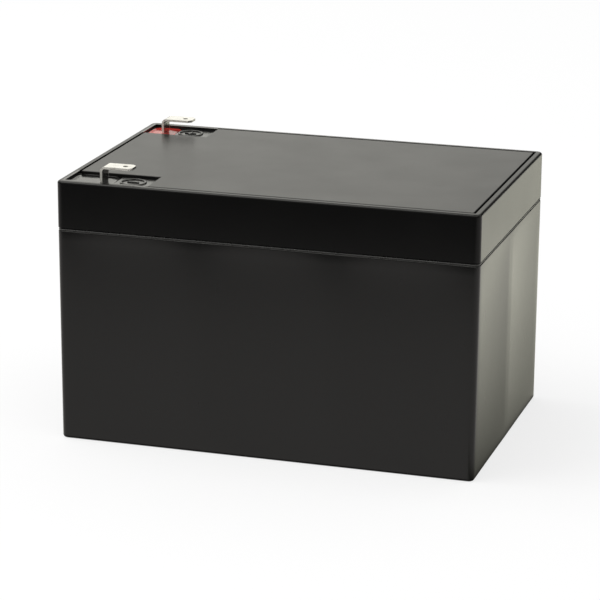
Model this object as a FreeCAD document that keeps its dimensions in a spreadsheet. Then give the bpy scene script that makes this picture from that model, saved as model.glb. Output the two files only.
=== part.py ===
import FreeCAD, Part
import math
import os
import re

import Sketcher

# Sealed lead-acid battery block for a UPS: 12 V, six cells in two rows of three.
# Frame: origin at the middle of the underside, +X along the length, +Z up.
# The terminals stand at the -X end, negative at -Y (front), positive at +Y (rear).

sizes = {
    # Case
    "caseLength": 151.0,
    "caseWidth": 98.0,
    "caseHeight": 94.0,
    "cornerRadius": 2.4,
    "wall": 2.6,
    "partition": 1.8,
    # Container
    "floorThickness": 2.6,
    "draft": 0.25,
    "panelBulge": 0.3,
    "baseRound": 1.2,
    "shoulderRound": 0.5,
    # Joint between container and cover
    "coverHeight": 17.0,
    "seamGap": 0.6,
    "tongueHeight": 4.0,
    "tongueInset": 1.0,
    "glueThickness": 0.3,
    "fitClearance": 0.15,
    # Cover
    "skirtChamfer": 0.4,
    "rimRound": 0.9,
    "rimWidth": 2.2,
    "chamberDepth": 6.5,
    "deckThickness": 2.5,
    # Top plate
    "plateThickness": 2.0,
    "plateGap": 0.8,
    "plateRound": 0.3,
    "seatWidth": 1.5,
    # How far each terminal, with its recess, stands from the middle setting, along +X
    "negativeShift": 2.5,
    "positiveShift": -3.0,
    # Terminal recesses, measured from the -X end and from the long side
    "recessStart": 2.4,
    "recessEnd": 30.0,
    "recessSide": 3.0,
    "recessWidth": 14.0,
    "recessDepth": 1.0,
    "recessWall": 1.2,
    "wellEnd": 16.5,
    "wellMargin": 0.6,
    "wellRadius": 1.5,
    "wellDepth": 6.0,
    "pottingDepth": 1.1,
    # Terminals
    "terminalSide": 10.0,
    "tabStart": 11.4,
    "tabEnd": 22.9,
    "tabRise": 4.6,
    "tabWidth": 6.35,
    "tabThickness": 0.8,
    "tabBend": 0.9,
    "tabTaper": 1.3,
    "tabHole": 1.8,
    "tabHoleFromTip": 3.2,
    "footStart": 5.0,
    "postStart": 8.2,
    "postDiameter": 7.0,
    "ringSection": 1.6,
    # Vent valves
    "ventOffset": 14.0,
    "neckDiameter": 8.0,
    "neckBore": 4.5,
    "capWall": 1.3,
    "capTop": 1.7,
    "capSkirt": 3.6,
    "capClearance": 0.3,
    # Plate groups
    "positiveCount": 4,
    "positiveThickness": 3.2,
    "negativeThickness": 2.4,
    "groupClearance": 1.2,
    "groupHeadroom": 1.4,
    "separatorRise": 2.0,
    "lugWidth": 9.0,
    "lugHeight": 4.0,
    "strapThickness": 4.0,
    "strapWidth": 10.0,
    "riserHeight": 8.0,
    "riserThickness": 3.0,
    "weldSize": 6.0,
}

columns = 3
rows = 2
# Cells in the order of the series circuit, from the negative terminal round to the positive.
circuit = [(0, 0), (1, 0), (2, 0), (2, 1), (1, 1), (0, 1)]

doc = FreeCAD.newDocument("SealedBattery")
sheet = doc.addObject("Spreadsheet::Sheet", "Sizes")
for line, (name, value) in enumerate(sizes.items(), 1):
    sheet.set(f"A{line}", name)
    sheet.set(f"B{line}", str(value))
    sheet.setAlias(f"B{line}", name)
doc.recompute()

# Heights and lengths that follow from the driving sizes.
halfLength = "(caseLength / 2)"
halfWidth = "(caseWidth / 2)"
seam = "(caseHeight - coverHeight)"
shoulder = f"({seam} - seamGap)"
tongueTop = f"({shoulder} + tongueHeight)"
grooveTop = f"({tongueTop} + glueThickness)"
plateSeat = "(caseHeight - plateThickness)"
deckTop = f"({plateSeat} - chamberDepth)"
ceiling = f"({deckTop} - deckThickness)"
neckHeight = "(chamberDepth - capTop - capClearance)"
recessFloor = "(caseHeight - recessDepth)"
wellFloor = "(caseHeight - wellDepth)"
pottingTop = "(caseHeight - pottingDepth)"
cellLength = f"((caseLength - 2 * wall - {columns - 1} * partition) / {columns})"
cellWidth = f"((caseWidth - 2 * wall - {rows - 1} * partition) / {rows})"
columnPitch = f"({cellLength} + partition)"
rowPitch = f"({cellWidth} + partition)"
terminalY = f"({halfWidth} - terminalSide)"
groupLength = f"({cellLength} - 2 * groupClearance)"
platePitch = f"(({groupLength} - negativeThickness) / positiveCount)"
separatorThickness = f"(({platePitch} - positiveThickness - negativeThickness) / 2)"
plateWidth = f"({cellWidth} - 2 * fitClearance - 2 * {separatorThickness})"
strapTop = f"({tongueTop} - groupHeadroom - riserHeight)"
strapBottom = f"({strapTop} - strapThickness)"
groupHeight = f"({strapBottom} - lugHeight - floorThickness)"
lugOffset = f"({terminalY} - {rowPitch} / 2)"
weldMiddle = f"({strapTop} + riserHeight / 2)"
innerY = f"({rowPitch} / 2 - {lugOffset})"


def linked(expression):
    """Point each size name in an expression at the spreadsheet."""
    return re.sub(r"[A-Za-z]\w*", lambda word: f"Sizes.{word.group()}", expression)


def number(expression):
    return float(sheet.evalExpression(linked(expression)))


def columnX(column):
    return f"({column - (columns - 1) / 2} * {columnPitch})"


def rowY(row):
    return f"({row - (rows - 1) / 2} * {rowPitch})"


def ventY(row):
    return f"({2 * row - rows + 1} * ventOffset)"


def place(item, x="0", y="0", z="0"):
    for axis, expression in zip("xyz", (x, y, z)):
        item.setExpression(f"Placement.Base.{axis}", linked(expression))


def newBody(label, x="0", y="0", z="0"):
    body = doc.addObject("PartDesign::Body", label)
    body.Label = label
    place(body, x, y, z)
    return body


def newSketch(body, role, offset="0"):
    plane = next(item for item in body.Origin.OriginFeatures if item.Role == role)
    sketch = body.newObject("Sketcher::SketchObject", "Sketch")
    sketch.AttachmentSupport = [(plane, "")]
    sketch.MapMode = "FlatFace"
    sketch.setExpression("AttachmentOffset.Base.z", linked(offset))
    return sketch


def dimension(sketch, kind, *reference, size):
    index = sketch.addConstraint(Sketcher.Constraint(kind, *reference, number(size)))
    sketch.setExpression(f"Constraints[{index}]", linked(size))


def trace(sketch, points):
    """Draw a closed outline anticlockwise; a third item is the radius of the arc that starts there."""
    corners = [FreeCAD.Vector(number(point[0]), number(point[1])) for point in points]
    edges = []
    for start, end, point in zip(corners, corners[1:] + corners[:1], points):
        if len(point) == 2:
            edges.append(sketch.addGeometry(Part.LineSegment(start, end)))
            continue
        radius = number(point[2])
        chord = end - start
        sagitta = radius - math.sqrt(max(radius ** 2 - chord.Length ** 2 / 4, 0))
        outward = FreeCAD.Vector(chord.y, -chord.x).normalize()
        middle = (start + end) / 2 + outward * sagitta
        edges.append(sketch.addGeometry(Part.ArcOfCircle(start, middle, end)))
    for edge, following, point in zip(edges, edges[1:] + edges[:1], points):
        sketch.addConstraint(Sketcher.Constraint("Coincident", edge, 2, following, 1))
        dimension(sketch, "DistanceX", -1, 1, edge, 1, size=point[0])
        dimension(sketch, "DistanceY", -1, 1, edge, 1, size=point[1])
        if len(point) == 3:
            dimension(sketch, "Radius", edge, size=point[2])


def rectangle(left, right, front, back):
    return [(left, front), (right, front), (right, back), (left, back)]


def square(x, y, size):
    return rectangle(f"{x} - {size} / 2", f"{x} + {size} / 2", f"{y} - {size} / 2", f"{y} + {size} / 2")


def roundedRectangle(left, right, front, back, radius):
    return [
        (f"{left} + {radius}", front),
        (f"{right} - {radius}", front, radius),
        (right, f"{front} + {radius}"),
        (right, f"{back} - {radius}", radius),
        (f"{right} - {radius}", back),
        (f"{left} + {radius}", back, radius),
        (left, f"{back} - {radius}"),
        (left, f"{front} + {radius}", radius),
    ]


def caseOutline(inset, radius="cornerRadius"):
    """Outline of the case, moved inwards on every side."""
    x = f"({halfLength} - {inset})"
    y = f"({halfWidth} - {inset})"
    return roundedRectangle(f"-{x}", x, f"-{y}", y, radius)


def circle(sketch, x, y, diameter):
    centre = FreeCAD.Vector(number(x), number(y))
    ring = sketch.addGeometry(Part.Circle(centre, FreeCAD.Vector(0, 0, 1), number(diameter) / 2))
    dimension(sketch, "DistanceX", -1, 1, ring, 3, size=x)
    dimension(sketch, "DistanceY", -1, 1, ring, 3, size=y)
    dimension(sketch, "Diameter", ring, size=diameter)


def extrude(body, kind, sketch, length, upward=None, symmetric=False):
    """Add a Pad or a Pocket and make sure that it changed the solid the right way."""
    before = body.Shape.Volume if body.Tip else 0
    feature = body.newObject(f"PartDesign::{kind}", kind)
    feature.Profile = sketch
    feature.setExpression("Length", linked(length))
    feature.Midplane = symmetric
    if upward is not None:
        feature.Reversed = upward == (kind == "Pocket")
    doc.recompute()
    grew = body.Shape.Volume > before
    if grew != (kind == "Pad"):
        raise ValueError(f"{kind} of {body.Label} missed the solid")
    return feature


def repeat(body, feature, axis, pitch, count):
    """Repeat a feature along an origin axis of its body."""
    line = next(item for item in body.Origin.OriginFeatures if item.Role == axis)
    pattern = body.newObject("PartDesign::LinearPattern", "LinearPattern")
    pattern.Originals = [feature]
    pattern.Direction = (line, [""])
    pattern.setExpression("Length", linked(f"{pitch} * ({count} - 1)"))
    pattern.setExpression("Occurrences", linked(count))
    body.Tip = pattern
    doc.recompute()
    return pattern


def dressEdges(body, kind, size, wanted):
    """Fillet or chamfer the edges that pass the test."""
    base = body.Tip
    names = [f"Edge{index}" for index, edge in enumerate(base.Shape.Edges, 1) if wanted(edge)]
    feature = body.newObject(f"PartDesign::{kind}", kind)
    feature.Base = (base, names)
    feature.setExpression("Radius" if kind == "Fillet" else "Size", linked(size))
    doc.recompute()


def level(height):
    """Test for the edges that lie flat at one height."""
    z = number(height)
    return lambda edge: edge.BoundBox.ZLength < 0.001 and abs(edge.BoundBox.ZMin - z) < 0.001


def panelOutline(inset):
    """Outline of the container: one shallow outward panel for each cell, and rounded corners."""
    x = f"({halfLength} - panelBulge - {inset})"
    y = f"({halfWidth} - panelBulge - {inset})"
    breaksX = [f"(-{x} + cornerRadius)"]
    breaksX += [f"({column - columns / 2} * {columnPitch})" for column in range(1, columns)]
    breaksX += [f"({x} - cornerRadius)"]
    breaksY = [f"(-{y} + cornerRadius)"]
    breaksY += [f"({row - rows / 2} * {rowPitch})" for row in range(1, rows)]
    breaksY += [f"({y} - cornerRadius)"]

    def panels(stops):
        radius = "((({1} - {0}) ^ 2 / 4 + panelBulge ^ 2) / (2 * panelBulge))"
        return [(start, radius.format(start, end)) for start, end in zip(stops, stops[1:])]

    corner = "cornerRadius"
    front = [(stop, f"-{y}", radius) for stop, radius in panels(breaksX)]
    right = [(x, stop, radius) for stop, radius in panels(breaksY)]
    back = [(f"-{stop}", y, radius) for stop, radius in panels(breaksX)]
    left = [(f"-{x}", f"-{stop}", radius) for stop, radius in panels(breaksY)]
    front.append((breaksX[-1], f"-{y}", corner))
    right.append((x, breaksY[-1], corner))
    back.append((f"-{breaksX[-1]}", y, corner))
    left.append((f"-{x}", f"-{breaksY[-1]}", corner))
    return front + right + back + left


def drawCells(sketch):
    """One rectangle for the inside of each cell."""
    for column, row in circuit:
        x = columnX(column)
        y = rowY(row)
        left, right = f"{x} - {cellLength} / 2", f"{x} + {cellLength} / 2"
        front, back = f"{y} - {cellWidth} / 2", f"{y} + {cellWidth} / 2"
        trace(sketch, rectangle(left, right, front, back))


def makeContainer():
    body = newBody("container")
    # Each edge round is drawn as three sections of the loft, a quarter turn in two steps.
    half = 1 - math.sqrt(0.5)
    sections = [
        ("0", "(draft + baseRound)"),
        (f"{half} * baseRound", f"(draft + {half} * baseRound)"),
        ("baseRound", "draft"),
        (f"{shoulder} - shoulderRound", "0"),
        (f"{shoulder} - {half} * shoulderRound", f"({half} * shoulderRound)"),
        (shoulder, "shoulderRound"),
    ]
    sketches = []
    for height, inset in sections:
        section = newSketch(body, "XY_Plane", height)
        trace(section, panelOutline(inset))
        sketches.append(section)
    doc.recompute()
    loft = body.newObject("PartDesign::AdditiveLoft", "Loft")
    loft.Profile = sketches[0]
    loft.Sections = sketches[1:]
    loft.Ruled = True
    doc.recompute()
    tongue = newSketch(body, "XY_Plane", shoulder)
    trace(tongue, caseOutline("tongueInset"))
    extrude(body, "Pad", tongue, "tongueHeight")
    cells = newSketch(body, "XY_Plane", tongueTop)
    drawCells(cells)
    extrude(body, "Pocket", cells, f"{tongueTop} - floorThickness")
    # Windows in the partitions for the welds from cell to cell.
    for column, weldY in ((0, innerY), (1, terminalY)):
        across = newSketch(body, "YZ_Plane", f"{column + 1 - columns / 2} * {columnPitch}")
        for side in ("-", ""):
            trace(across, square(f"{side}{weldY}", weldMiddle, "weldSize"))
        extrude(body, "Pocket", across, "2 * partition", symmetric=True)
    along = newSketch(body, "XZ_Plane")
    trace(along, square(columnX(columns - 1), weldMiddle, "weldSize"))
    extrude(body, "Pocket", along, "2 * partition", symmetric=True)
    return body


def shifted(length, side):
    """A length from the -X end, moved with the terminal of that side."""
    shift = "negativeShift" if side < 0 else "positiveShift"
    return f"({length} + {shift})"


def recessBox(start, end, margin, side):
    """Corner points of a pocket beside a terminal; side is -1 at the front and +1 at the rear."""
    left = f"(-{halfLength} + {start})"
    right = f"(-{halfLength} + {end})"
    outer = f"({halfWidth} - recessSide - {margin})"
    inner = f"({halfWidth} - recessSide - recessWidth + {margin})"
    if side < 0:
        return left, right, f"-{outer}", f"-{inner}"
    return left, right, inner, outer


def notchedOutline(inset, notchLength, notchWidth):
    """Case outline moved inwards, with both terminal corners cut away."""
    x = f"({halfLength} - {inset})"
    y = f"({halfWidth} - {inset})"
    frontX = f"(-{halfLength} + {shifted(notchLength, -1)})"
    backX = f"(-{halfLength} + {shifted(notchLength, 1)})"
    notchY = f"({halfWidth} - {notchWidth})"
    return [
        (frontX, f"-{y}"),
        (x, f"-{y}"),
        (x, y),
        (backX, y),
        (backX, notchY),
        (f"-{x}", notchY),
        (f"-{x}", f"-{notchY}"),
        (frontX, f"-{notchY}"),
    ]


def makeCover():
    body = newBody("cover")
    block = newSketch(body, "XY_Plane", seam)
    trace(block, caseOutline("0"))
    extrude(body, "Pad", block, "coverHeight")
    dressEdges(body, "Fillet", "rimRound", level("caseHeight"))
    dressEdges(body, "Chamfer", "skirtChamfer", level(seam))
    # Underside: a groove for the container's edge, and headroom over each cell.
    groove = newSketch(body, "XY_Plane", seam)
    trace(groove, caseOutline("(tongueInset - fitClearance)"))
    extrude(body, "Pocket", groove, f"{grooveTop} - {seam}", upward=True)
    headroom = newSketch(body, "XY_Plane", grooveTop)
    drawCells(headroom)
    extrude(body, "Pocket", headroom, f"{ceiling} - {grooveTop}", upward=True)
    # Top: a seat for the plate, and the space for the vent valves below it.
    seat = newSketch(body, "XY_Plane", "caseHeight")
    trace(seat, notchedOutline("rimWidth", "recessEnd", "(recessSide + recessWidth)"))
    extrude(body, "Pocket", seat, "plateThickness")
    chamber = newSketch(body, "XY_Plane", plateSeat)
    wallY = "(recessSide + recessWidth + recessWall)"
    trace(chamber, notchedOutline("(rimWidth + seatWidth)", "(recessEnd + recessWall)", wallY))
    extrude(body, "Pocket", chamber, "chamberDepth")
    necks = newSketch(body, "XY_Plane", deckTop)
    bores = newSketch(body, "XY_Plane", f"{deckTop} + {neckHeight}")
    for column, row in circuit:
        circle(necks, columnX(column), ventY(row), "neckDiameter")
        circle(bores, columnX(column), ventY(row), "neckBore")
    extrude(body, "Pad", necks, neckHeight)
    extrude(body, "Pocket", bores, f"{neckHeight} + deckThickness")
    # Terminal recesses, with a well for the potting and a seat for the sealing ring.
    for side in (-1, 1):
        recess = newSketch(body, "XY_Plane", "caseHeight")
        trace(recess, rectangle(*recessBox("recessStart", shifted("recessEnd", side), "0", side)))
        extrude(body, "Pocket", recess, "recessDepth")
        well = newSketch(body, "XY_Plane", recessFloor)
        box = recessBox("(recessStart + wellMargin)", shifted("wellEnd", side), "wellMargin", side)
        trace(well, roundedRectangle(*box, "wellRadius"))
        extrude(body, "Pocket", well, f"{recessFloor} - {wellFloor}")
        postX, postY = f"(-{halfLength} + postStart)", f"{side} * {terminalY}"
        ringSeat = newSketch(body, "XY_Plane", wellFloor)
        circle(ringSeat, postX, postY, "postDiameter + 2 * ringSection")
        extrude(body, "Pocket", ringSeat, "ringSection")
        postHole = newSketch(body, "XY_Plane", wellFloor)
        circle(postHole, postX, postY, "postDiameter + 2 * fitClearance")
        extrude(body, "Pocket", postHole, f"{wellFloor} - {ceiling}")
    return body


def makeGlue():
    body = newBody("cover_adhesive")
    sketch = newSketch(body, "XY_Plane", tongueTop)
    trace(sketch, caseOutline("tongueInset"))
    drawCells(sketch)
    extrude(body, "Pad", sketch, "glueThickness")
    return body


def makeTopPlate():
    body = newBody("top_plate")
    sketch = newSketch(body, "XY_Plane", plateSeat)
    notch = ("(recessEnd + fitClearance)", "(recessSide + recessWidth + fitClearance)")
    trace(sketch, notchedOutline("(rimWidth + plateGap)", *notch))
    extrude(body, "Pad", sketch, "plateThickness")
    dressEdges(body, "Fillet", "plateRound", level("caseHeight"))
    return body


def makeCap(label, x, y):
    """Rubber cap that sits over a vent neck as a one-way valve."""
    body = newBody(label, x, y, f"{deckTop} + {neckHeight}")
    sketch = newSketch(body, "XZ_Plane")
    inner = "neckDiameter / 2"
    outer = "(neckDiameter / 2 + capWall)"
    trace(sketch, [
        ("0", "0"),
        (inner, "0"),
        (inner, "-capSkirt"),
        (outer, "-capSkirt"),
        (outer, "capTop"),
        ("0", "capTop"),
    ])
    turn = body.newObject("PartDesign::Revolution", "Revolution")
    turn.Profile = sketch
    turn.ReferenceAxis = (sketch, ["V_Axis"])
    turn.Angle = 360
    doc.recompute()
    return body


def makeTab(label, side):
    """Bent push-on blade: a foot on the post, an upright leg, and a blade that points inwards."""
    body = newBody(label, f"-{halfLength}", f"{side} * {terminalY}")
    profile = newSketch(body, "XZ_Plane")
    legOuter, bladeTip = shifted("tabStart", side), shifted("tabEnd", side)
    legInner = f"({legOuter} + tabThickness)"
    bladeTop = "(caseHeight + tabRise)"
    bladeUnder = f"({bladeTop} - tabThickness)"
    footTop = f"({wellFloor} + tabThickness)"
    trace(profile, [
        ("footStart", wellFloor),
        (legInner, wellFloor),
        (legInner, bladeUnder),
        (bladeTip, bladeUnder),
        (bladeTip, bladeTop),
        (legOuter, bladeTop),
        (legOuter, footTop),
        ("footStart", footTop),
    ])
    extrude(body, "Pad", profile, "tabWidth", symmetric=True)

    def bendLine(x, z):
        at = (number(x), number(z))
        return lambda edge: all(
            abs(vertex.X - at[0]) < 0.001 and abs(vertex.Z - at[1]) < 0.001 for vertex in edge.Vertexes
        )

    insideBends = (bendLine(legInner, bladeUnder), bendLine(legOuter, footTop))
    outsideBends = (bendLine(legOuter, bladeTop), bendLine(legInner, wellFloor))
    dressEdges(body, "Fillet", "tabBend", lambda edge: any(test(edge) for test in insideBends))
    outsideBend = "tabBend + tabThickness"
    dressEdges(body, "Fillet", outsideBend, lambda edge: any(test(edge) for test in outsideBends))
    # The two tip corners are cut at an angle so that a receptacle slides on.
    tip = number(bladeTip)
    dressEdges(body, "Chamfer", "tabTaper", lambda edge: edge.BoundBox.ZLength > 0.001 and all(
        abs(vertex.X - tip) < 0.001 for vertex in edge.Vertexes
    ))
    hole = newSketch(body, "XY_Plane", bladeTop)
    circle(hole, f"{bladeTip} - tabHoleFromTip", "0", "tabHole")
    extrude(body, "Pocket", hole, "tabThickness")
    return body


def makePost(label, side):
    post = doc.addObject("Part::Cylinder", label)
    post.Label = label
    post.setExpression("Radius", linked("postDiameter / 2"))
    post.setExpression("Height", linked(f"{wellFloor} - {strapTop}"))
    place(post, f"-{halfLength} + postStart", f"{side} * {terminalY}", strapTop)
    return post


def makeRing(label, side):
    """Square-section sealing ring that fills the seat round the post."""
    postX, postY = f"-{halfLength} + postStart", f"{side} * {terminalY}"
    ring = newBody(label, postX, postY, f"{wellFloor} - ringSection")
    sketch = newSketch(ring, "XY_Plane")
    circle(sketch, "0", "0", "postDiameter")
    circle(sketch, "0", "0", "postDiameter + 2 * ringSection")
    extrude(ring, "Pad", sketch, "ringSection")
    return ring


def makePotting(label, side, tab):
    """Resin that fills the well round the foot and leg of the tab."""
    fill = newBody(f"{label}_fill")
    sketch = newSketch(fill, "XY_Plane", wellFloor)
    box = recessBox("(recessStart + wellMargin)", shifted("wellEnd", side), "wellMargin", side)
    trace(sketch, roundedRectangle(*box, "wellRadius"))
    extrude(fill, "Pad", sketch, f"{pottingTop} - {wellFloor}")
    potting = doc.addObject("Part::Cut", label)
    potting.Label = label
    potting.Base = fill
    potting.Tool = tab
    return potting


def makeSeparator(label, x, y):
    """One glass-mat sheet folded to and fro between the plates: a block with slots from both sides."""
    body = newBody(label, x, y, "floorThickness")
    top = f"{groupHeight} + separatorRise"
    block = newSketch(body, "XY_Plane")
    end = f"({groupLength} / 2 - negativeThickness)"
    side = f"({cellWidth} / 2 - fitClearance)"
    trace(block, rectangle(f"-{end}", end, f"-{side}", side))
    extrude(body, "Pad", block, top)
    positiveStart = f"(-{end} + {separatorThickness})"
    negativeStart = f"({positiveStart} + positiveThickness + {separatorThickness})"
    fold = f"({side} - {separatorThickness})"
    slots = [
        (positiveStart, "positiveThickness", f"-{fold}", side, "positiveCount"),
        (negativeStart, "negativeThickness", f"-{side}", fold, "(positiveCount - 1)"),
    ]
    for start, thickness, front, back, count in slots:
        slot = newSketch(body, "XY_Plane", top)
        trace(slot, rectangle(start, f"{start} + {thickness}", front, back))
        pocket = extrude(body, "Pocket", slot, top)
        repeat(body, pocket, "X_Axis", platePitch, count)
    return body


def makePlates(label, x, y, positive, strapSide, riser):
    """Plates of one polarity, hung by their lugs from a cast strap with its riser or terminal end."""
    body = newBody(label, x, y)
    strapY = f"({strapSide} * {lugOffset})"
    half = f"({groupLength} / 2)"
    strap = newSketch(body, "XY_Plane", strapBottom)
    trace(strap, rectangle(f"-{half}", half, f"{strapY} - strapWidth / 2", f"{strapY} + strapWidth / 2"))
    extrude(body, "Pad", strap, "strapThickness")
    if riser:
        upright = newSketch(body, "XY_Plane", strapTop)
        trace(upright, rectangle(*riserFootprint(riser, strapY)))
        extrude(body, "Pad", upright, "riserHeight")
    thickness = "positiveThickness" if positive else "negativeThickness"
    start = f"(-{half} + negativeThickness + {separatorThickness})" if positive else f"-{half}"
    count = "positiveCount" if positive else "(positiveCount + 1)"
    plate = newSketch(body, "YZ_Plane", start)
    foot = "floorThickness"
    head = f"(floorThickness + {groupHeight})"
    edge = f"({plateWidth} / 2)"
    trace(plate, [
        (f"-{edge}", foot),
        (edge, foot),
        (edge, head),
        (f"{strapY} + lugWidth / 2", head),
        (f"{strapY} + lugWidth / 2", strapBottom),
        (f"{strapY} - lugWidth / 2", strapBottom),
        (f"{strapY} - lugWidth / 2", head),
        (f"-{edge}", head),
    ])
    pad = extrude(body, "Pad", plate, thickness)
    repeat(body, pad, "X_Axis", platePitch, count)
    return body


def riserFootprint(riser, strapY):
    """Upright end of a strap that meets the partition towards +X, -X, +Y or -Y."""
    sign, axis = riser
    if axis == "X":
        wall = f"{sign}{cellLength} / 2"
        back = f"{wall} - {sign}1 * (groupClearance + riserThickness)"
        span = sorted((wall, back), key=number)
        return span[0], span[1], f"{strapY} - strapWidth / 2", f"{strapY} + strapWidth / 2"
    wall = f"{sign}{cellWidth} / 2"
    span = sorted((wall, strapY), key=number)
    return "-strapWidth / 2", "strapWidth / 2", span[0], span[1]


def makeWeld(label, x, y, role):
    """Nugget that joins two risers through the window in a partition."""
    body = newBody(label, x, y, weldMiddle)
    sketch = newSketch(body, role)
    trace(sketch, square("0", "0", "weldSize"))
    extrude(body, "Pad", sketch, "partition", symmetric=True)
    return body


parts = [makeContainer(), makeCover(), makeGlue(), makeTopPlate()]

for name, side in (("negative", -1), ("positive", 1)):
    tab = makeTab(f"{name}_tab", side)
    parts += [tab, makePost(f"{name}_post", side), makeRing(f"{name}_o_ring", side)]
    parts.append(makePotting(f"{name}_potting", side, tab))

# For each cell: which side its negative strap lies on, and where its two risers meet a partition.
outward = {0: -1, 1: 1}
straps = [
    (outward[0], None, "+X"),
    (-outward[0], "-X", "+X"),
    (outward[0], "-X", "+Y"),
    (-outward[1], "-Y", "-X"),
    (outward[1], "+X", "-X"),
    (-outward[1], "+X", None),
]
for index, ((column, row), strap) in enumerate(zip(circuit, straps), 1):
    x, y = columnX(column), rowY(row)
    negativeSide, negativeRiser, positiveRiser = strap
    parts.append(makeCap(f"vent_cap_{index}", x, ventY(row)))
    parts.append(makeSeparator(f"separator_{index}", x, y))
    parts.append(makePlates(f"negative_plates_{index}", x, y, False, negativeSide, negativeRiser))
    parts.append(makePlates(f"positive_plates_{index}", x, y, True, -negativeSide, positiveRiser))

leftPartition = f"(-{columnPitch} / 2)"
rightPartition = f"({columnPitch} / 2)"
welds = [
    (leftPartition, f"-{innerY}", "YZ_Plane"),
    (rightPartition, f"-{terminalY}", "YZ_Plane"),
    (columnX(columns - 1), "0", "XZ_Plane"),
    (rightPartition, terminalY, "YZ_Plane"),
    (leftPartition, innerY, "YZ_Plane"),
]
for index, weld in enumerate(welds, 1):
    parts.append(makeWeld(f"intercell_weld_{index}", *weld))

doc.recompute()

for item in doc.Objects:
    if "Invalid" in item.State or "Error" in item.State:
        raise RuntimeError(f"{item.Label} did not recompute")
for part in parts:
    if part.Shape.isNull() or not part.Shape.isValid() or len(part.Shape.Solids) != 1:
        raise RuntimeError(f"{part.Label} is not one valid solid")

os.makedirs("parts", exist_ok=True)
for part in parts:
    part.Shape.exportStep(f"parts/{part.Label}.step")
    print(part.Label, round(part.Shape.Volume / 1000, 2), "cm3")
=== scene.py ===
import math
import bpy
import numpy as np
from mathutils import Matrix, Vector


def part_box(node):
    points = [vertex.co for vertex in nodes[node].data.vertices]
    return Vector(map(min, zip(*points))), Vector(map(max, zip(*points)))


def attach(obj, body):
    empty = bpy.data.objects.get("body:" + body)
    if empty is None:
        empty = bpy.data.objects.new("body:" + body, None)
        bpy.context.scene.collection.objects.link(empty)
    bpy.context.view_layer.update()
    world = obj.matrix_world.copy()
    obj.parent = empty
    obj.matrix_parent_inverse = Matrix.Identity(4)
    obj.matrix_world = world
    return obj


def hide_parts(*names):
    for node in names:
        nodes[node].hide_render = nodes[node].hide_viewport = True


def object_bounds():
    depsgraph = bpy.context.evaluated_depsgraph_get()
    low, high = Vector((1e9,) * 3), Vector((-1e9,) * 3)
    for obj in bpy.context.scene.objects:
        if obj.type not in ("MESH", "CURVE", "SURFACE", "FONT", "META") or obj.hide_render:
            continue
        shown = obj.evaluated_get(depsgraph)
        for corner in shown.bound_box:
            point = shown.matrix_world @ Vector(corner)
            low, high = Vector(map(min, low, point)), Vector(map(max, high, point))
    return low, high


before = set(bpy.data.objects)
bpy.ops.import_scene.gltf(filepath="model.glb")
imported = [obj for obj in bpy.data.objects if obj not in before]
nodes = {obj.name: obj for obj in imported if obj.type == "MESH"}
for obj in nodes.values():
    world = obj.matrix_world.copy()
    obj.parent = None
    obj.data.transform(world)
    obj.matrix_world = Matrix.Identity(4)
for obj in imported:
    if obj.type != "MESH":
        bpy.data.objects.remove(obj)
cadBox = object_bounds()
print("frame loaded with", len(nodes), "nodes")


# shader tools

class Signal:  # one shader value; arithmetic on it adds the Math nodes
    def __init__(self, finish, socket):
        self.finish, self.socket = finish, socket

    def maths(self, operation, *values, clamp=False):
        settings = {"operation": operation, "use_clamp": clamp}
        return self.finish.node("ShaderNodeMath", settings, dict(enumerate(values)))

    def __add__(self, other):
        return self.maths("ADD", self, other)

    def __sub__(self, other):
        return self.maths("SUBTRACT", self, other)

    def __rsub__(self, other):
        return self.maths("SUBTRACT", other, self)

    def __mul__(self, other):
        return self.maths("MULTIPLY", self, other)

    def __truediv__(self, other):
        return self.maths("DIVIDE", self, other)

    def __abs__(self):
        return self.maths("ABSOLUTE", self)

    __radd__, __rmul__ = __add__, __mul__

    def clip(self):  # held between 0 and 1
        return self.maths("ADD", self, 0.0, clamp=True)

    def above(self, low, high):  # 0 below low, 1 above high, smooth between them
        ends = {"From Min": low, "From Max": high, "To Min": 0.0, "To Max": 1.0}
        settings = {"interpolation_type": "SMOOTHSTEP", "clamp": True}
        return self.finish.node("ShaderNodeMapRange", settings, {"Value": self, **ends})

    def below(self, low, high):  # the reverse: 1 below low, 0 above high
        return 1 - self.above(low, high)


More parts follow.
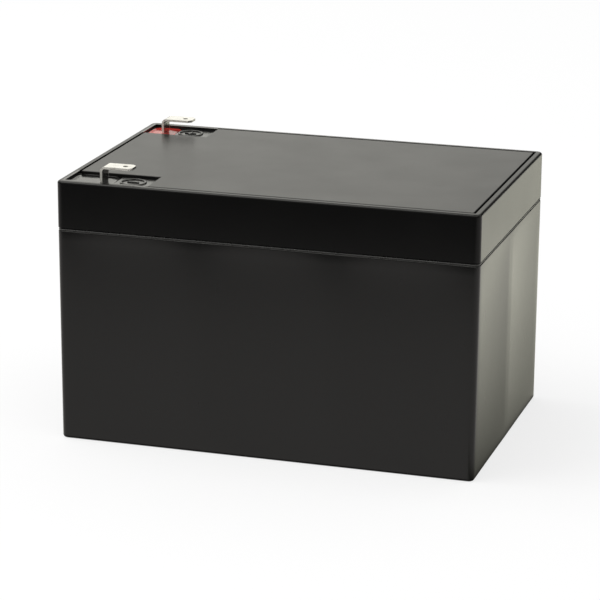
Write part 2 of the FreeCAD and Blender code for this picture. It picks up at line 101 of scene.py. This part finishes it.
class Finish:  # a material, or the world, and the nodes that make it up
    def __init__(self, owner):
        self.owner = owner
        owner.use_nodes = True
        self.tree = owner.node_tree
        self.tree.nodes.clear()

    def node(self, kind, settings=None, sockets=None, output=0):
        made = self.tree.nodes.new(kind)
        for name, value in (settings or {}).items():
            setattr(made, name, value)
        for name, value in (sockets or {}).items():
            if isinstance(value, Signal):
                self.tree.links.new(value.socket, made.inputs[name])
            else:
                made.inputs[name].default_value = value
        return Signal(self, made.outputs[output]) if made.outputs else None

    def where(self):  # the place on the piece, in metres
        return self.node("ShaderNodeTexCoord", output="Object")

    def parts(self, vector):  # its x, y and z
        x = self.node("ShaderNodeSeparateXYZ", None, {0: vector})
        return [Signal(self, output) for output in x.socket.node.outputs]

    def stretch(self, vector, x, y, z):
        settings = {"operation": "MULTIPLY"}
        return self.node("ShaderNodeVectorMath", settings, {0: vector, 1: (x, y, z)})

    def noise(self, vector, scale, detail, rough=0.55):
        sockets = {"Vector": vector, "Scale": scale, "Detail": detail, "Roughness": rough}
        return self.node("ShaderNodeTexNoise", None, sockets)

    def cells(self, vector, scale):
        return self.node("ShaderNodeTexVoronoi", None, {"Vector": vector, "Scale": scale})

    def mix(self, share, first, second):
        sockets = {0: share, 6: (*first, 1.0), 7: (*second, 1.0)}
        return self.node("ShaderNodeMix", {"data_type": "RGBA"}, sockets, 2)

    def bump(self, height, depth):
        sockets = {"Strength": 1.0, "Distance": depth, "Height": height}
        return self.node("ShaderNodeBump", None, sockets)

    def surface(self, sockets):
        shader = self.node("ShaderNodeBsdfPrincipled", None, sockets)
        self.node("ShaderNodeOutputMaterial", None, {"Surface": shader})
        return self.owner


def newFinish(name):
    return Finish(bpy.data.materials.new(name))


# finishes: a noise is given as its scale and detail, with its roughness where that isn't the usual
# one, and a limit as the two values between which something sets in

plasticLooks = {
    "caseBlack": {
        "dark": (0.0018, 0.0018, 0.0017), "light": (0.0034, 0.0034, 0.0033), "specular": 0.25,
        "gloss": 0.26, "glossSpread": 0.06, "grain": (2600, 2), "grainDepth": 0.000012,
        "drawn": 0.7,
    },
    "coverBlack": {
        "dark": (0.0016, 0.0016, 0.0016), "light": (0.0030, 0.0030, 0.0029), "specular": 0.14,
        "gloss": 0.22, "glossSpread": 0.06, "grain": (3200, 2), "grainDepth": 0.000006,
        "polish": 0.6,
    },
    "plateBlack": {
        "dark": (0.0030, 0.0030, 0.0029), "light": (0.0060, 0.0059, 0.0057), "specular": 0.25,
        "gloss": 0.30, "glossSpread": 0.12, "grain": (2800, 2), "grainDepth": 0.000014,
    },
}
plasticWear = {
    "tone": (38, 4), "drawn": (420, 3), "drawnStretch": (1, 1, 0.02),
    "rub": (4, 5, 0.7), "rubStretch": (60, 60, 14), "rubbed": (0.62, 0.80), "rubRough": 0.05,
}
recess = {
    "left": (-0.0742, -0.0738), "right": (-0.0435, -0.0430), "inner": (0.0318, 0.0320),
    "outer": (0.0465, 0.0470), "floor": (0.0915, 0.0920), "polishRough": 0.28,
}


def mouldedPlastic(name):
    # moulded plastic: a broad change of tone, a fine spark-eroded grain and faint rubbed places
    look, wear = plasticLooks[name], plasticWear
    made = newFinish(name)
    place = made.where()
    tone = made.noise(place, *wear["tone"])
    relief = made.noise(place, *look["grain"])
    if "drawn" in look:  # upright streaks, from drawing the case out of its mould
        streak = made.noise(made.stretch(place, *wear["drawnStretch"]), *wear["drawn"])
        relief = relief + streak * look["drawn"]
    rubbed = made.noise(made.stretch(place, *wear["rubStretch"]), *wear["rub"])
    worn = rubbed.above(*wear["rubbed"]) * wear["rubRough"]
    sockets = {
        "Base Color": made.mix(tone, look["dark"], look["light"]),
        "Roughness": look["gloss"] + (tone - 0.5) * look["glossSpread"] + worn,
        "Specular IOR Level": look["specular"],
        "Normal": made.bump(relief, look["grainDepth"]),
    }
    if "polish" in look:  # the floors of the terminal recesses are shinier than the rest
        x, y, z = made.parts(place)
        aside = abs(y)
        inside = aside.above(*recess["inner"]) * aside.below(*recess["outer"])
        inside = inside * x.above(*recess["left"]) * x.below(*recess["right"])
        sockets["Coat Weight"] = inside * z.above(*recess["floor"]) * look["polish"]
        sockets["Coat Roughness"] = recess["polishRough"]
    return made.surface(sockets)


brassLook = {
    "tin": (0.80, 0.79, 0.76), "cloud": (0.62, 0.60, 0.56), "clouds": (420, 4),
    "cloudy": (0.45, 0.75), "gloss": 0.12, "glossSpread": 0.10,
    "drawn": (1500, 3), "drawnStretch": (0.12, 1, 1), "drawnDepth": 0.000004,
    "middle": 0.0390, "sheared": (0.0030732, 0.00312), "dull": 0.45,
}


def tinnedBrass():
    # tin over brass: bright, drawn along the strip, a little cloudy, dull on its two sheared edges
    look = brassLook
    made = newFinish("tinnedBrass")
    place = made.where()
    cloud = made.noise(place, *look["clouds"])
    drawn = made.noise(made.stretch(place, *look["drawnStretch"]), *look["drawn"])
    aside = abs(abs(made.parts(place)[1]) - look["middle"])
    dull = aside.above(*look["sheared"]) * look["dull"]
    return made.surface({
        "Base Color": made.mix(cloud.above(*look["cloudy"]), look["tin"], look["cloud"]),
        "Metallic": 1.0,
        "Roughness": look["gloss"] + cloud * look["glossSpread"] + dull,
        "Normal": made.bump(drawn, look["drawnDepth"]),
    })


resinLook = {
    "clouds": (260, 4), "cloudy": (0.3, 0.7), "gloss": 0.10, "glossSpread": 0.08,
    "ripple": (420, 2), "rippleDepth": 0.00004,
}


def pottingResin(name, deep, pale):
    # cast epoxy: glossy, self-levelled, with small clouds of pigment
    look = resinLook
    made = newFinish(name)
    place = made.where()
    cloud = made.noise(place, *look["clouds"])
    return made.surface({
        "Base Color": made.mix(cloud.above(*look["cloudy"]), deep, pale),
        "Roughness": look["gloss"] + cloud * look["glossSpread"],
        "Normal": made.bump(made.noise(place, *look["ripple"]), look["rippleDepth"]),
    })


cloudyLooks = {
    "castLead": {
        "dark": (0.20, 0.21, 0.23), "light": (0.42, 0.43, 0.45), "clouds": (600, 5),
        "metal": 0.9, "specular": 0.5, "gloss": 0.42, "glossSpread": 0.2, "depth": 0.00003,
    },
    "valveRubber": {
        "dark": (0.012, 0.012, 0.012), "light": (0.030, 0.030, 0.029), "clouds": (500, 4),
        "metal": 0.0, "specular": 0.3, "gloss": 0.62, "glossSpread": 0.2, "depth": 0.00002,
    },
    "coverAdhesive": {
        "dark": (0.008, 0.008, 0.008), "light": (0.016, 0.016, 0.016), "clouds": (300, 4),
        "metal": 0.0, "specular": 0.5, "gloss": 0.20, "glossSpread": 0.15, "depth": 0.00003,
    },
}


def cloudyFinish(name):
    # cast lead, bloomed rubber or squeezed glue: one noise changes its tone, gloss and relief
    look = cloudyLooks[name]
    made = newFinish(name)
    cloud = made.noise(made.where(), *look["clouds"])
    return made.surface({
        "Base Color": made.mix(cloud, look["dark"], look["light"]), "Metallic": look["metal"],
        "Roughness": look["gloss"] + cloud * look["glossSpread"],
        "Specular IOR Level": look["specular"], "Normal": made.bump(cloud, look["depth"]),
    })


matLook = {
    "dark": (0.62, 0.62, 0.60), "light": (0.86, 0.86, 0.84), "fibre": (2400, 3),
    "upright": (1, 1, 0.08), "level": (1, 0.08, 1), "contrast": 2, "rough": 0.95, "depth": 0.00006,
}


def glassMat():
    # pressed glass fibre: white, with fibres lying in every direction of the sheet
    look = matLook
    made = newFinish("glassMat")
    place = made.where()
    upright = made.noise(made.stretch(place, *look["upright"]), *look["fibre"])
    level = made.noise(made.stretch(place, *look["level"]), *look["fibre"])
    fibre = upright * level * look["contrast"]
    return made.surface({
        "Base Color": made.mix(fibre, look["dark"], look["light"]), "Roughness": look["rough"],
        "Normal": made.bump(fibre, look["depth"]),
    })


pasteLook = {"clouds": (120, 5), "pores": 1400, "poreDepth": 0.00005, "rough": 0.88}


def platePaste(name, dark, light):
    # pasted plate: clouded and full of pores
    look = pasteLook
    made = newFinish(name)
    place = made.where()
    pores = made.cells(place, look["pores"])
    return made.surface({
        "Base Color": made.mix(made.noise(place, *look["clouds"]), dark, light),
        "Roughness": look["rough"], "Normal": made.bump(pores, look["poreDepth"]),
    })


finishes = {
    "case_plastic": mouldedPlastic("caseBlack"),
    "cover_plastic": mouldedPlastic("coverBlack"),
    "plate_plastic": mouldedPlastic("plateBlack"),
    "adhesive": cloudyFinish("coverAdhesive"),
    "tinned_brass": tinnedBrass(),
    "lead": cloudyFinish("castLead"),
    "rubber": cloudyFinish("valveRubber"),
    "negative_resin": pottingResin("blackResin", (0.004, 0.004, 0.004), (0.010, 0.010, 0.010)),
    "positive_resin": pottingResin("redResin", (0.40, 0.022, 0.018), (0.56, 0.045, 0.035)),
    "glass_mat": glassMat(),
    "negative_mass": platePaste("spongeLead", (0.16, 0.17, 0.18), (0.28, 0.29, 0.30)),
    "positive_mass": platePaste("leadDioxide", (0.050, 0.026, 0.016), (0.105, 0.056, 0.034)),
}
print("finishes made:", len(finishes))


# mesh tools

def addObject(name, data):
    item = bpy.data.objects.new(name, data)
    bpy.context.scene.collection.objects.link(item)
    return item


def solid(name, slot, grids, crease=32):
    # joins closed grids into one mesh; a grid's rows follow a profile and its columns go round the
    # piece, and its first and last rows are filled, but in a ring the last row joins the first
    points, faces, first = [], [], 0
    for grid, ring in grids:
        rows, columns = grid.shape[:2]
        index = first + np.arange(rows * columns).reshape(rows, columns)
        below = index if ring else index[:-1]
        above = np.roll(index, -1, 0) if ring else index[1:]
        quads = np.stack([below, np.roll(below, -1, 1), np.roll(above, -1, 1), above], -1)
        faces += quads.reshape(-1, 4).tolist()
        if not ring:
            faces += [index[0][::-1].tolist(), index[-1].tolist()]
        points.append(grid.reshape(-1, 3))
        first += rows * columns
    mesh = bpy.data.meshes.new(name)
    mesh.from_pydata(np.concatenate(points), [], faces)
    mesh.polygons.foreach_set("use_smooth", np.ones(len(faces), bool))
    mesh.set_sharp_from_angle(angle=math.radians(crease))
    mesh.validate()
    mesh.materials.append(finishes[slot])
    piece = addObject(name, mesh)
    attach(piece, "root")
    return piece


def pointGrid(x, y, z):  # z may be given once for each row
    return np.stack([x, y, np.broadcast_to(z, x.shape)], -1)


def block(low, high):
    # a plain block as a grid: four corners round, two rows
    x = np.array([low[0], high[0], high[0], low[0]])
    y = np.array([low[1], low[1], high[1], high[1]])
    return np.stack([pointGrid(x, y, z) for z in (low[2], high[2])]), False


def fullTurn(points):
    return np.linspace(0, 2 * math.pi, points, endpoint=False)


def superellipse(points, power):
    # once round: x = ±|cos a|^power and y = ±|sin a|^power, which a small power makes squarer
    cosine, sine = np.cos(fullTurn(points)), np.sin(fullTurn(points))
    return np.sign(cosine) * abs(cosine) ** power, np.sign(sine) * abs(sine) ** power


def roundedWay(sidePoints, arcPoints):
    # once round a rounded rectangle from its front left corner: each point is a post, from -1 to 1
    # along a side and at ±1 throughout a corner's arc, and the way it faces out from its post
    along = np.linspace(-1, 1, sidePoints)
    arc = np.linspace(0, math.pi / 2, arcPoints)[1:-1]
    sine, cosine = np.sin(arc), np.cos(arc)
    flat, full, one = np.zeros_like(along), np.ones_like(along), np.ones_like(arc)
    postX = np.concatenate([along, one, full, one, -along, -one, -full, -one])
    postY = np.concatenate([-full, -one, along, one, full, one, -along, -one])
    faceX = np.concatenate([flat, sine, full, cosine, flat, -sine, -full, -cosine])
    faceY = np.concatenate([-full, -cosine, flat, sine, full, cosine, flat, -sine])
    return postX, postY, faceX, faceY


# container: thin walls drawn in a little over each cell, three cells long and two deep, and a
# tongue that stands up inside the cover

jar = {
    "halfLength": 0.07545, "halfWidth": 0.04895, "corner": 0.0024, "leastCorner": 0.0003,
    "draw": 0.0006, "fade": 6, "ease": 0.12, "ridge": 0.07,
    "lengthwise": 3, "across": 2, "split": 0.0246,
    "draft": 0.00025, "baseRound": 0.0012, "shoulder": 0.0764, "shoulderRound": 0.0005,
    "tongueInset": 0.00095, "tongueTop": 0.0803, "wall": 0.00255, "floor": 0.0026,
    "partition": 0.0018, "partitionTop": 0.0775, "overlap": 0.0002,
    "sidePoints": 121, "arcPoints": 9, "roundRows": 9, "wallRows": 26,
}


def panelDraw(along, split, count):
    # over each cell a parabola, 0 at its ends and 1 in its middle; two meet in a soft ridge
    knots = np.concatenate([[-1.0], split, [1.0]])
    place = np.interp(along, knots, np.arange(count + 1.0)) % 1.0
    hollow = 1 - np.minimum(abs(2 * place - 1) / (1 - jar["ridge"]), 1) ** 2
    ease = jar["ease"]
    return (np.hypot(hollow, ease) - ease) / (math.hypot(1, ease) - ease)


def containerShell():
    # rounded rectangle, its cell panels drawn in, carried up the wall and down again inside
    postX, postY, faceX, faceY = roundedWay(jar["sidePoints"], jar["arcPoints"])
    along = np.linspace(-1, 1, jar["sidePoints"])
    splitX = jar["split"] / (jar["halfLength"] - jar["corner"])
    longDraw = panelDraw(along, [-splitX, splitX], jar["lengthwise"])
    shortDraw = panelDraw(along, [0.0], jar["across"])
    none = np.zeros(jar["arcPoints"] - 2)
    hollow = np.concatenate([longDraw, none, shortDraw, none] * 2)

    base, shoulder, top = jar["baseRound"], jar["shoulder"], jar["shoulderRound"]
    turn = np.linspace(0, math.pi / 2, jar["roundRows"])
    climb = np.linspace(base, shoulder - top, jar["wallRows"])[1:-1]
    rimInset = [jar["tongueInset"], jar["tongueInset"], jar["wall"], jar["wall"]]
    rimHeight = [shoulder, jar["tongueTop"], jar["tongueTop"], jar["floor"]]
    inset = np.concatenate([
        jar["draft"] + base * (1 - np.sin(turn)),
        jar["draft"] * (1 - climb / shoulder),
        top * (1 - np.cos(turn)),
        rimInset,
    ])[:, None]
    height = np.concatenate([
        base * (1 - np.cos(turn)),
        climb,
        shoulder - top + top * np.sin(turn),
        rimHeight,
    ])[:, None]
    # full depth half-way up, 1 - (2z/h - 1)^6, none at the base, the shoulder or inside
    depth = 1 - (2 * height / shoulder - 1) ** jar["fade"]
    depth[-len(rimInset):] = 0.0
    radius = np.maximum(jar["corner"] - inset, jar["leastCorner"])
    reach = radius - jar["draw"] * depth * hollow
    x = postX * (jar["halfLength"] - inset - radius) + faceX * reach
    y = postY * (jar["halfWidth"] - inset - radius) + faceY * reach

    half, overlap = jar["partition"] / 2, jar["overlap"]
    endX = jar["halfLength"] - jar["wall"] + overlap
    endY = jar["halfWidth"] - jar["wall"] + overlap
    floor, lid = jar["floor"] - overlap, jar["partitionTop"]
    walls = [
        block((middle - half, -endY, floor), (middle + half, endY, lid))
        for middle in (-jar["split"], jar["split"])
    ]
    walls.append(block((-endX, -half, floor), (endX, half, lid)))
    shell = pointGrid(x, y, height)
    piece = solid("container_shell", "case_plastic", [(shell, False), *walls])
    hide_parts("container")


containerShell()
print("container made")


# seam bead: the adhesive that was pressed out all round, in the gap between container and cover

bead = {
    "halfLength": 0.0755, "halfWidth": 0.0490, "corner": 0.0024, "middle": 0.0767,
    "inset": 0.00064, "bulge": 0.00052, "height": 0.00034, "waver": 0.00006, "waves": (11, 29, 53),
    "sidePoints": 90, "arcPoints": 9, "turnPoints": 16,
}


def seamBead():
    # an ellipse carried round a rounded rectangle, its width wavering a little along the way
    postX, postY, faceX, faceY = roundedWay(bead["sidePoints"], bead["arcPoints"])
    travel = fullTurn(len(postX))
    waves = sum(np.sin(count * travel + phase) for phase, count in enumerate(bead["waves"]))
    width = bead["bulge"] + bead["waver"] * waves / len(bead["waves"])
    turn = fullTurn(bead["turnPoints"])[:, None]
    out = bead["corner"] - bead["inset"] + width * np.cos(turn)
    x = postX * (bead["halfLength"] - bead["corner"]) + faceX * out
    y = postY * (bead["halfWidth"] - bead["corner"]) + faceY * out
    z = bead["middle"] + bead["height"] * np.sin(turn)
    solid("seam_bead", "adhesive", [(pointGrid(x, y, z), True)], crease=80)


seamBead()
print("seam bead made")


# potting: resin that filled each terminal well and crept up the wall and the leg

potting = {
    "floor": 0.0880, "top": 0.0929, "creep": 0.00022, "creepReach": 0.0006, "crown": 0.00015,
    "negativeLeg": -0.0612, "positiveLeg": -0.0667,
    "legHalfDepth": 0.0004, "legHalfWidth": 0.003175,
    "power": 0.34, "around": 160, "rings": 34, "crowding": 1.6, "shrinking": 0.985,
}


def pottingPool(name, slot, node, legMiddle):
    # rings of a superellipse shrinking to its middle, closest at the wall; the height climbs by
    # exp(-gap / reach) near the wall and the leg, over a crown that is highest in the middle
    low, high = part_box(node)
    middleX, middleY = (low.x + high.x) / 2, (low.y + high.y) / 2
    halfX, halfY = (high.x - low.x) / 2, (high.y - low.y) / 2
    ringX, ringY = superellipse(potting["around"], potting["power"])
    inward = np.linspace(0, 1, potting["rings"])[:, None] ** potting["crowding"]
    share = 1 - inward * potting["shrinking"]
    x = middleX + halfX * ringX * share
    y = middleY + halfY * ringY * share
    wallGap = np.minimum(halfX - abs(x - middleX), halfY - abs(y - middleY))
    legX = np.maximum(abs(x - legMiddle) - potting["legHalfDepth"], 0)
    legY = np.maximum(abs(y - middleY) - potting["legHalfWidth"], 0)
    legGap = np.hypot(legX, legY)
    climb = np.exp(-wallGap / potting["creepReach"]) + np.exp(-legGap / potting["creepReach"])
    crown = (1 - ((x - middleX) / halfX) ** 2) * (1 - ((y - middleY) / halfY) ** 2)
    crept = np.minimum(climb, 1.0) - 0.5
    z = potting["top"] + potting["creep"] * crept + potting["crown"] * crown
    skin = pointGrid(x, y, z)
    foot = skin[:1].copy()
    foot[..., 2] = potting["floor"]
    piece = solid(name, slot, [(np.concatenate([foot, skin]), False)], crease=50)
    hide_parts(node)


for sign in ("negative", "positive"):
    leg = potting[f"{sign}Leg"]
    pottingPool(f"{sign}_resin_pool", f"{sign}_resin", f"{sign}_potting", leg)
print("potting made")


# polarity marks: a raised ring with its sign, on the floor of each recess

marks = {
    "negative": (-0.0505, -0.0390), "positive": (-0.0568, 0.0390), "floor": 0.0930,
    "ringRadius": 0.0043, "ringHalf": 0.00045, "ringHeight": 0.00045, "ringFoot": 0.4,
    "barHalfLength": 0.0022, "barHalf": 0.0005, "barHeight": 0.00045, "barFoot": 0.35,
    "barPower": 0.3, "barInward": 0.8,
    "ringPoints": 128, "ridgePoints": 20, "barPoints": 64, "barRows": 10,
}


def raisedRing(middle):
    # a half-round ridge carried round a circle, its underside just below the floor
    around = fullTurn(marks["ringPoints"])
    turn = fullTurn(marks["ridgePoints"])[:, None]
    ridge = marks["ringRadius"] + marks["ringHalf"] * np.cos(turn)
    x = middle[0] + ridge * np.cos(around)
    y = middle[1] + ridge * np.sin(around)
    rise = np.where(np.sin(turn) > 0, 1, marks["ringFoot"])
    return pointGrid(x, y, marks["floor"] + marks["ringHeight"] * np.sin(turn) * rise), True


def raisedBar(middle, halfX, halfY):
    # rings of a rounded bar drawn in as they rise, so that its top edge is round
    aroundX, aroundY = superellipse(marks["barPoints"], marks["barPower"])
    rise = np.linspace(-marks["barFoot"], math.pi / 2, marks["barRows"])[:, None]
    inward = marks["barHalf"] * (1 - np.cos(np.maximum(rise, 0))) * marks["barInward"]
    x = middle[0] + (halfX - inward) * aroundX
    y = middle[1] + (halfY - inward) * aroundY
    return pointGrid(x, y, marks["floor"] + marks["barHeight"] * np.sin(rise)), False


def polarityMarks():
    long, half = marks["barHalfLength"], marks["barHalf"]
    negative, positive = marks["negative"], marks["positive"]
    minus = [raisedRing(negative), raisedBar(negative, long, half)]
    plus = [raisedRing(positive), raisedBar(positive, long, half), raisedBar(positive, half, long)]
    solid("negative_mark", "cover_plastic", minus, crease=60)
    solid("positive_mark", "cover_plastic", plus, crease=60)


polarityMarks()
print("polarity marks made")


# the frame's own parts, each with the finish of its slot in the record

def dressFrame():
    dressed = {
        "case_plastic": ["container"], "cover_plastic": ["cover"], "plate_plastic": ["top_plate"],
        "adhesive": ["cover_adhesive"],
        "tinned_brass": ["negative_tab", "positive_tab"],
        "lead": ["negative_post", "positive_post"] + [f"intercell_weld_{i}" for i in range(1, 6)],
        "rubber": ["negative_o_ring", "positive_o_ring"] + [f"vent_cap_{i}" for i in range(1, 7)],
        "negative_resin": ["negative_potting"], "positive_resin": ["positive_potting"],
        "glass_mat": [f"separator_{i}" for i in range(1, 7)],
        "negative_mass": [f"negative_plates_{i}" for i in range(1, 7)],
        "positive_mass": [f"positive_plates_{i}" for i in range(1, 7)],
    }
    for slot, names in dressed.items():
        for name in names:
            nodes[name].data.materials[0] = finishes[slot]


dressFrame()
print("frame dressed")


# studio: a pale floor under a white sky, and one soft light from the left

floorLook = {
    "front": -0.31, "reach": 3.0, "lift": 0.70, "gloss": 1.22, "tint": (1.0, 0.965, 0.93),
    "sidePaintedLight": 1.42, "sideTint": (1.0, 0.99, 0.84), "sideFrom": 0.95, "sideFull": 1.02,
    "shade": 0.15, "shadeStart": -0.05, "shadeReach": 0.27, "fan": 0.30, "fanSoft": 0.02,
    "back": (0.27, 0.31), "backEnd": (0.10, 0.12), "backShade": 0.9,
    "footShadowReach": 0.0018, "footShadowStrength": 0.8,
}
white = (1.0, 1.0, 1.0)


def layFloor():
    # it stops in front of the case, whose front face mirrors it low down and the dark beyond it
    # near the top
    look = floorLook
    wide, front = look["reach"], look["front"]
    corners = [(-wide, front, 0), (wide, front, 0), (wide, wide, 0), (-wide, wide, 0)]
    mesh = bpy.data.meshes.new("floor")
    mesh.from_pydata(corners, [], [(0, 1, 2, 3)])
    addObject("floor", mesh)

    made = newFinish("paleFloor")
    corner = cadBox[1]
    x, y, _ = made.parts(made.where())
    # painted shade beside the case: along the +X end it brightens from front to back, out to a
    # line fanning from the front corner
    lit = ((y - look["shadeStart"]) / look["shadeReach"]).clip()
    side = look["sidePaintedLight"] * (look["shade"] + lit * (1 - look["shade"]))
    fan = ((x - corner.x - (y + corner.y) * look["fan"]) / look["fanSoft"]).clip()
    beside = x.above(corner.x * look["sideFrom"], corner.x * look["sideFull"]) * (1 - fan)
    gloss = look["gloss"] + (side - look["gloss"]) * beside
    # painted shade far behind the case: it is dark there, where the terminals mirror it
    behind = y.above(*look["back"]) * x.below(*look["backEnd"])
    gloss = gloss * (1 - behind * look["backShade"])
    # and a painted contact shadow: dark in a narrow line round the foot of the case
    footX, footY = corner.x + look["footShadowReach"], corner.y + look["footShadowReach"]
    under = abs(x).below(corner.x, footX) * abs(y).below(corner.y, footY)
    gloss = gloss * (1 - under * look["footShadowStrength"])
    tint = made.mix(beside, look["tint"], look["sideTint"])
    # glossy rays see the floor as a glow of painted light and painted shade, not a lit surface,
    # which the case and terminals show as painted reflections
    isGlossy = made.node("ShaderNodeLightPath", output="Is Glossy Ray")
    isSeen = made.node("ShaderNodeLightPath", output="Is Camera Ray")
    paint = made.node("ShaderNodeBsdfDiffuse", None, {"Color": (*white, 1.0)})
    plain = made.node("ShaderNodeEmission", None, {"Color": (*white, 1.0), "Strength": 1.0})
    bright = made.node("ShaderNodeEmission", None, {"Color": tint, "Strength": gloss})
    lifted = made.node("ShaderNodeMixShader", None, {0: isSeen * look["lift"], 1: paint, 2: plain})
    shader = made.node("ShaderNodeMixShader", None, {0: isGlossy, 1: lifted, 2: bright})
    made.node("ShaderNodeOutputMaterial", None, {"Surface": shader})
    mesh.materials.append(made.owner)


skyLook = {
    "ambient": 0.80, "warm": (1.0, 0.99, 0.92), "frontGloss": 0.6, "backGloss": 1.18,
    "back": (-0.3, 0.4), "horizon": (-0.02, 0.04), "belowGloss": 0.05,
    "boxGloss": 4.0, "boxFoot": (0.72, 0.86), "boxHead": (0.955, 0.985), "boxBack": (0.1, 0.4),
    "flag": 0.93, "flagLeft": (-0.33, 0.12), "leftLean": 0.02, "flagRight": (-0.1, 0.1),
    "rightLean": 0.8, "flagHead": (0.4, 0.6), "flagFront": (0.0, 0.2),
}


def hangSky():
    # white to the eye; mirror-like surfaces see a warm sky that dims towards the front and is dark
    # below, with a bright box overhead and a dark flag behind to the right
    look = skyLook
    sky = bpy.data.worlds.new("sky")
    bpy.context.scene.world = sky
    made = Finish(sky)
    x, y, z = made.parts(made.node("ShaderNodeTexCoord", output="Generated"))
    back = y.above(*look["back"])
    up = z.above(*look["horizon"])
    box = z.above(*look["boxFoot"]) * z.below(*look["boxHead"]) * y.below(*look["boxBack"])
    flag = (x - y * look["leftLean"]).above(*look["flagLeft"])
    flag = flag * (x - y * look["rightLean"]).below(*look["flagRight"])
    flag = flag * z.below(*look["flagHead"]) * y.above(*look["flagFront"]) * look["flag"]
    gloss = look["frontGloss"] + back * (look["backGloss"] - look["frontGloss"])
    gloss = (gloss + box * look["boxGloss"]) * (1 - flag) * up + (1 - up) * look["belowGloss"]
    isGlossy = made.node("ShaderNodeLightPath", output="Is Glossy Ray")
    isSeen = made.node("ShaderNodeLightPath", output="Is Camera Ray")
    strength = isSeen + isGlossy * gloss + (1 - isSeen) * (1 - isGlossy) * look["ambient"]
    tint = made.mix(isGlossy, white, look["warm"])
    light = made.node("ShaderNodeBackground", None, {"Color": tint, "Strength": strength})
    made.node("ShaderNodeOutputWorld", None, {"Surface": light})


def aimAt(item, place, target, roll=0.0):
    line = Vector(target) - Vector(place)
    turned = line.to_track_quat("-Z", "Y").to_matrix().to_4x4() @ Matrix.Rotation(roll, 4, "Z")
    item.matrix_world = Matrix.Translation(place) @ turned


lampLook = {"place": (-0.8, -0.25, 1.3), "target": (0, 0, 0.05), "size": 1.2, "power": 9.0}


def hangLamp():
    lamp = bpy.data.lights.new("softBox", "AREA")
    lamp.size, lamp.energy = lampLook["size"], lampLook["power"]
    aimAt(addObject("softBox", lamp), lampLook["place"], lampLook["target"])


eye = {
    "azimuth": 17.02, "elevation": 16.39, "distance": 0.9747, "target": (-0.0017, 0.0, 0.0442),
    "lens": 162.4, "roll": 0.355, "nearest": 0.05, "farthest": 20,
}


def setCamera():
    turn, rise = math.radians(eye["azimuth"]), math.radians(eye["elevation"])
    level = math.cos(rise)
    back = Vector((math.sin(turn) * level, -math.cos(turn) * level, math.sin(rise)))
    optics = bpy.data.cameras.new("camera")
    optics.lens, optics.clip_start, optics.clip_end = eye["lens"], eye["nearest"], eye["farthest"]
    camera = addObject("camera", optics)
    target = Vector(eye["target"])
    aimAt(camera, target + back * eye["distance"], target, math.radians(eye["roll"]))
    bpy.context.scene.camera = camera


layFloor()
hangSky()
hangLamp()
setCamera()
bpy.context.scene.view_settings.view_transform = "Standard"
print("studio set")
